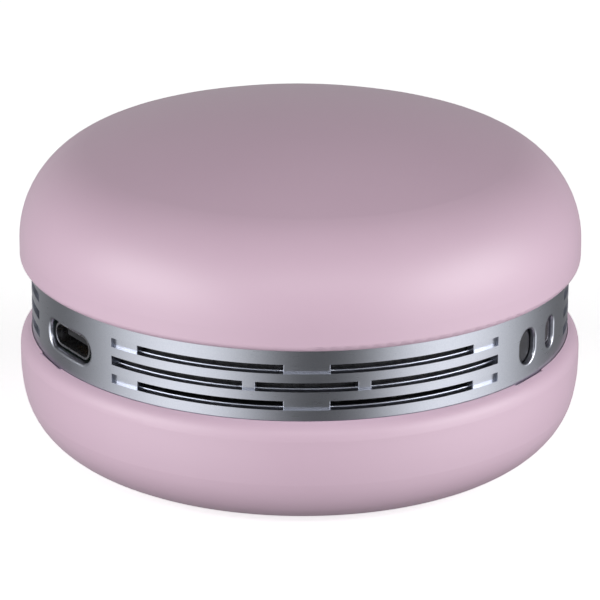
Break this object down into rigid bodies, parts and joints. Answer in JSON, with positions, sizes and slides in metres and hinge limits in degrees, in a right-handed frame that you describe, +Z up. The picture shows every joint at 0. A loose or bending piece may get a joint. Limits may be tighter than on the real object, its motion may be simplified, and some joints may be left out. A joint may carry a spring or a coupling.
{
  "type": "nail dust collector",
  "caption": "Round cordless desk-top nail dust collector: two satin shells with a vented metal band between them, a lift-off housing, a filter cartridge and an intake with flaps.",
  "frame": {"origin": "on the table, under the centre of the base", "axes": "+Z up along the axis of the round body, -Y towards the front, where a group of vents is centred"},
  "size_m": [0.0752, 0.0752, 0.0452],
  "materials": {
    "shell_pink": "satin pale pink moulded shell",
    "band_silver": "satin bright silver",
    "black_rubber": "matt black",
    "brush_black": "matt black",
    "brush_fibre": "black nylon tufts",
    "dark_plastic": "fine matt black",
    "silicone_grey": "translucent grey silicone",
    "steel": "plain steel",
    "filter_white": "white moulded frame",
    "steel_mesh": "perforated sheet",
    "filter_paper": "white pleated filter paper",
    "exhaust_foam": "black open-cell foam",
    "motor_steel": "zinc plated steel",
    "brass": "plain brass",
    "magnet_black": "dark grey",
    "copper": "enamelled copper wire",
    "impeller_grey": "matt grey",
    "battery_foil": "foil pouch",
    "pad_foam": "foam tape",
    "board_green": "green solder mask",
    "button_grey": "matt dark grey",
    "clear_pipe": "clear acrylic light pipe",
    "led_white": "diffuse white"
  },
  "bodies": {
    "cup": {"dust_cup": "shell_pink", "base_feet": "black_rubber", "brush_ring": "brush_black", "brush_tufts": "brush_fibre", "intake_nozzle": "dark_plastic", "flap_pins": "steel"},
    "flap_rear": {"flap_rear": "silicone_grey"},
    "flap_front": {"flap_front": "silicone_grey"},
    "filter": {"filter_frame": "filter_white", "filter_mesh": "steel_mesh", "filter_media": "filter_paper", "filter_gasket": "black_rubber"},
    "housing": {"vent_band": "band_silver", "cup_seal": "black_rubber", "top_shell": "shell_pink", "exhaust_foam": "exhaust_foam", "inlet_plate": "dark_plastic", "motor_deck": "dark_plastic", "deck_screws": "steel", "shell_screws": "steel", "motor_screws": "steel", "motor_damper": "black_rubber", "motor_can": "motor_steel", "motor_end_cap": "dark_plastic", "motor_bushings": "brass", "motor_magnets": "magnet_black", "motor_terminals": "steel", "battery_pad": "pad_foam", "battery_cell": "battery_foil", "main_board": "board_green", "board_spacers": "brass", "board_chips": "magnet_black", "charge_inductor": "magnet_black", "battery_socket": "dark_plastic", "usb_shell": "steel", "usb_tongue": "dark_plastic", "usb_board": "board_green", "switch_board": "board_green", "tact_switch": "dark_plastic", "indicator_led": "led_white", "light_pipe": "clear_pipe"},
    "rotor": {"motor_shaft": "steel", "rotor_core": "motor_steel", "rotor_windings": "copper", "commutator": "dark_plastic", "impeller": "impeller_grey"},
    "button": {"power_button": "button_grey", "switch_plunger": "button_grey"}
  },
  "joints": [
    {"name": "filter_lift", "type": "slide", "parent": "cup", "child": "filter", "axis": [0, 0, 1], "range_m": [0, 0.03]},
    {"name": "housing_lift", "type": "slide", "parent": "filter", "child": "housing", "axis": [0, 0, 1], "range_m": [0, 0.03]},
    {"name": "impeller_spin", "type": "hinge", "parent": "housing", "child": "rotor", "pos_m": [0, 0, 0.021], "axis": [0, 0, 1], "continuous": true},
    {"name": "button_press", "type": "slide", "parent": "housing", "child": "button", "axis": [-0.8549, 0.5188, 0], "range_m": [0, 0.0004], "stiffness_N_per_m": 400},
    {"name": "flap_rear_swing", "type": "hinge", "parent": "cup", "child": "flap_rear", "pos_m": [0, 0.0015, 0.0056], "axis": [1, 0, 0], "range_deg": [0, 50]},
    {"name": "flap_front_swing", "type": "hinge", "parent": "cup", "child": "flap_front", "pos_m": [0, -0.0015, 0.0056], "axis": [-1, 0, 0], "range_deg": [0, 50]}
  ]
}
